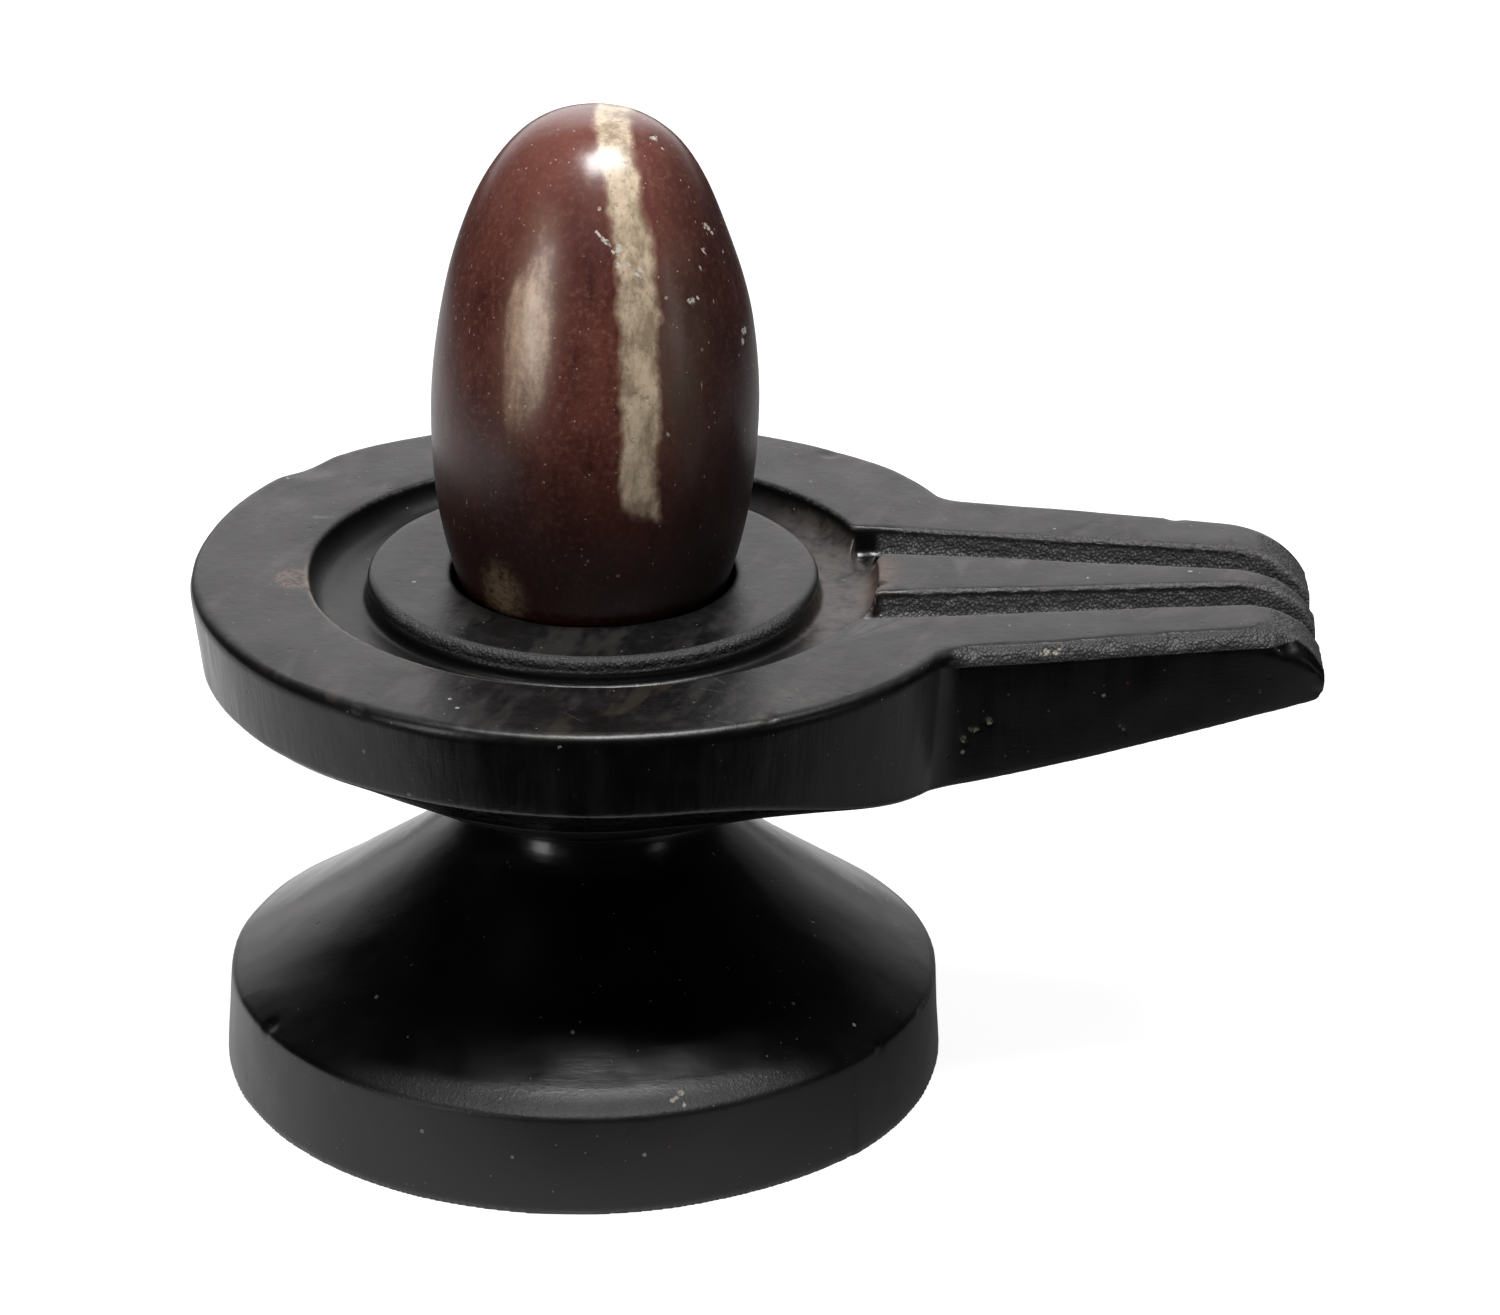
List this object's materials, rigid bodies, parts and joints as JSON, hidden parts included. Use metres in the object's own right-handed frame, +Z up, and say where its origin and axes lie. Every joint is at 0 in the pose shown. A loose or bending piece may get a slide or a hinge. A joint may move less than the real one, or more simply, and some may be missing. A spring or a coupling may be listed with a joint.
{
  "type": "shiva lingam",
  "caption": "Egg-shaped banded stone standing in a carved black stone base with a round foot, a waisted neck, a ringed water channel and a long grooved spout.",
  "frame": {"origin": "centre of the foot's underside, on the surface that it stands on", "axes": "+X along the spout, away from the stone; +Z up along the stone; Y across the spout"},
  "size_m": [0.1127, 0.0804, 0.1017],
  "materials": {
    "black_stone": "satin, oiled and hand-filed",
    "river_stone": "polished, red-brown with a pale band"
  },
  "bodies": {
    "root": {"yoni_base": "black_stone", "lingam_stone": "river_stone"}
  },
  "joints": []
}
